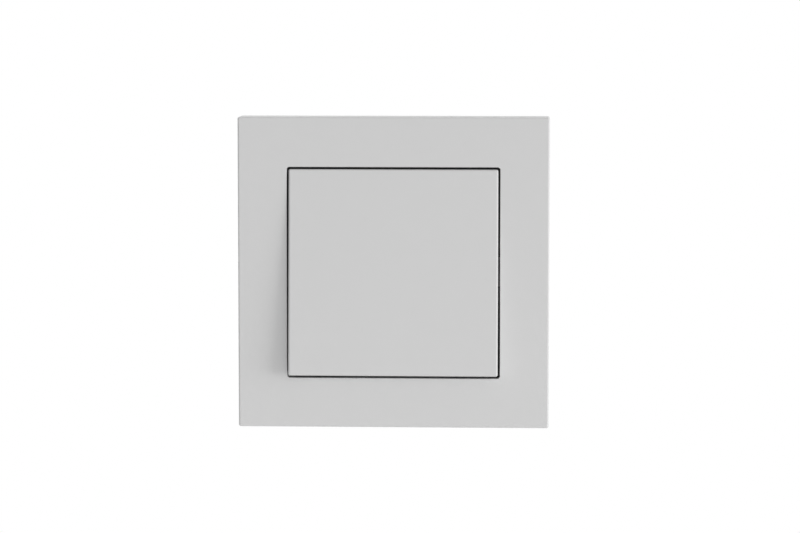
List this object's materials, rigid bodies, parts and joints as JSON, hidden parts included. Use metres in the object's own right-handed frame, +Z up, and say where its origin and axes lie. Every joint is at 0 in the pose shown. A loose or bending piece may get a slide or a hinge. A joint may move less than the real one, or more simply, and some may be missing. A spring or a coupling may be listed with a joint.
{
  "type": "light switch",
  "caption": "Square wall light switch: flat clip-on frame, large tilting rocker key, steel support plate, and a changeover contact mechanism with screw terminals behind.",
  "frame": {"origin": "middle of the two box-screw slots, in the wall's plane", "axes": "+X to the right seen from the room, +Y into the wall, +Z up"},
  "size_m": [0.086, 0.0311, 0.086],
  "materials": {
    "frame_plastic": "satin white moulding",
    "key_plastic": "satin white moulding",
    "plate_steel": "black-passivated sheet, rolled grain",
    "lid_plastic": "fine-textured grey moulding",
    "base_plastic": "fine-textured pale grey moulding",
    "dolly_plastic": "natural acetal",
    "plunger_plastic": "natural nylon",
    "spring_steel": "drawn wire",
    "contact_bronze": "rolled bronze",
    "strip_brass": "stamped brass",
    "silver_tip": "silver alloy",
    "terminal_brass": "turned and milled brass",
    "screw_steel": "zinc-plated steel",
    "rivet_steel": "nickel-plated steel"
  },
  "bodies": {
    "housing": {"cover_frame": "frame_plastic", "support_plate": "plate_steel", "mechanism_cover": "lid_plastic", "mechanism_base": "base_plastic", "fulcrum_bracket": "strip_brass", "upper_contact_strip": "strip_brass", "lower_contact_strip": "strip_brass", "upper_fixed_tip": "silver_tip", "lower_fixed_tip": "silver_tip", "common_terminal": "terminal_brass", "upper_terminal": "terminal_brass", "lower_terminal": "terminal_brass", "common_terminal_screw": "screw_steel", "upper_terminal_screw": "screw_steel", "lower_terminal_screw": "screw_steel", "upper_rivet": "rivet_steel", "lower_rivet": "rivet_steel"},
    "rocker": {"rocker_key": "key_plastic"},
    "dolly": {"dolly": "dolly_plastic", "toggle_spring": "spring_steel"},
    "plunger": {"spring_plunger": "plunger_plastic"},
    "contact": {"moving_contact": "contact_bronze", "upper_moving_tip": "silver_tip", "lower_moving_tip": "silver_tip"}
  },
  "joints": [
    {"name": "rocker_tilt", "type": "hinge", "parent": "housing", "child": "rocker", "pos_m": [0, -0.0075, 0], "axis": [1, 0, 0], "range_deg": [0, 7.2]},
    {"name": "dolly_swing", "type": "hinge", "parent": "housing", "child": "dolly", "pos_m": [0, 0.0015, 0], "axis": [1, 0, 0], "range_deg": [-14.4, 0]},
    {"name": "contact_swing", "type": "hinge", "parent": "housing", "child": "contact", "pos_m": [0, 0.01143, 0], "axis": [1, 0, 0], "range_deg": [0, 16]},
    {"name": "plunger_slide", "type": "slide", "parent": "dolly", "child": "plunger", "axis": [0, 0.9921, 0.1253], "range_m": [-0.0008, 0], "stiffness_N_per_m": 300, "deforming": ["toggle_spring"]}
  ],
  "couplings": [
    {"joint": "dolly_swing", "follows": "rocker_tilt", "ratio": -2},
    {"joint": "contact_swing", "follows": "rocker_tilt", "ratio": 2.2222}
  ]
}
